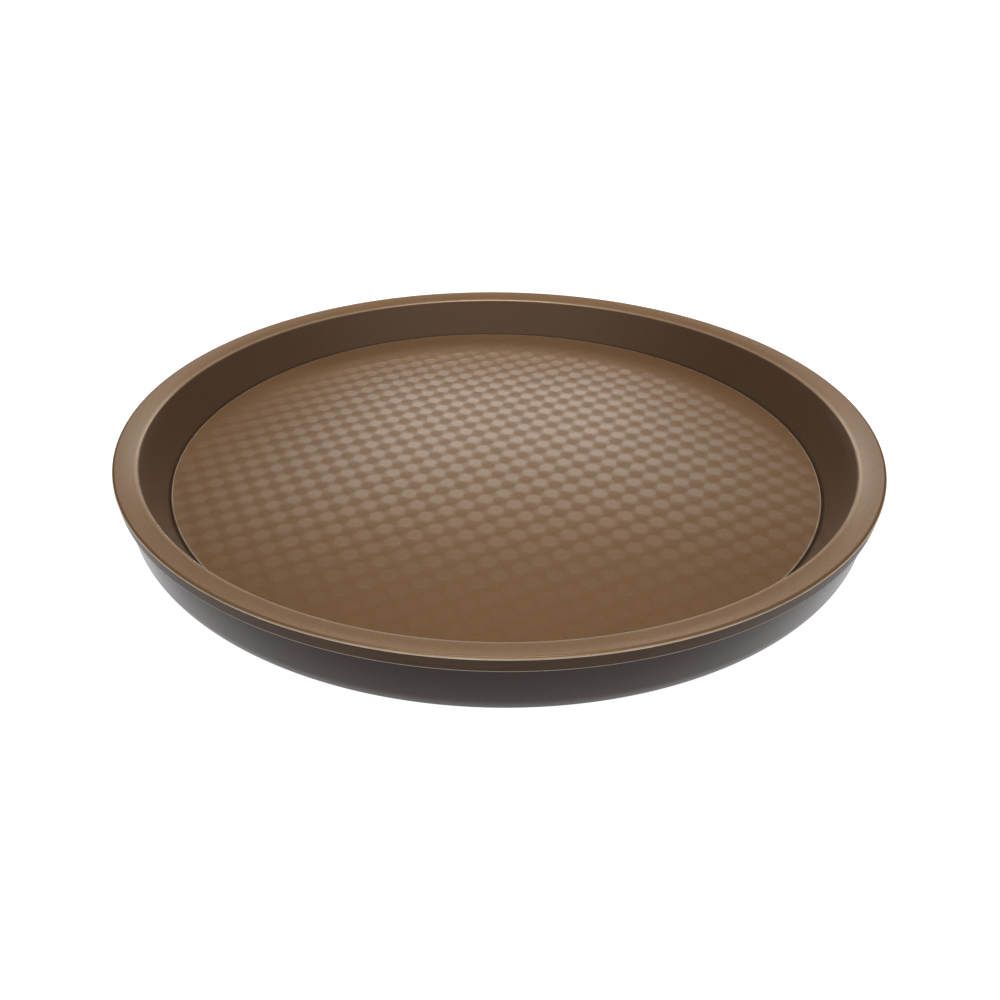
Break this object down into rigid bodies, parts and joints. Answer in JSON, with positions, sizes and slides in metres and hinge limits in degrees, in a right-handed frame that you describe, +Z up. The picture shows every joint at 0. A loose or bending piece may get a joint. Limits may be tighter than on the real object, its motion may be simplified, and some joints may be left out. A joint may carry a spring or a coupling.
{
  "type": "round baking tray",
  "caption": "Round baking tray of coated sheet metal with a hollow wall, a sloped rim with a turned-down skirt, and a loose dot-embossed base that lifts out.",
  "frame": {"origin": "middle of the foot, on the surface that the tray stands on", "axes": "+Z up through the tray's axis; X and Y are any two level directions, because the tray is round"},
  "size_m": [0.32, 0.32, 0.0279],
  "materials": {
    "ring_coating": "satin bronze non-stick coating",
    "shell_coating": "semi-gloss dark grey-brown coating",
    "base_coating": "satin bronze non-stick coating over an embossed lattice of dots"
  },
  "bodies": {
    "tray": {"inner_ring": "ring_coating", "outer_shell": "shell_coating"},
    "base": {"loose_base": "base_coating"}
  },
  "joints": [
    {"name": "base_lift", "type": "slide", "parent": "tray", "child": "base", "axis": [0, 0, 1], "range_m": [0, 0.06]}
  ]
}
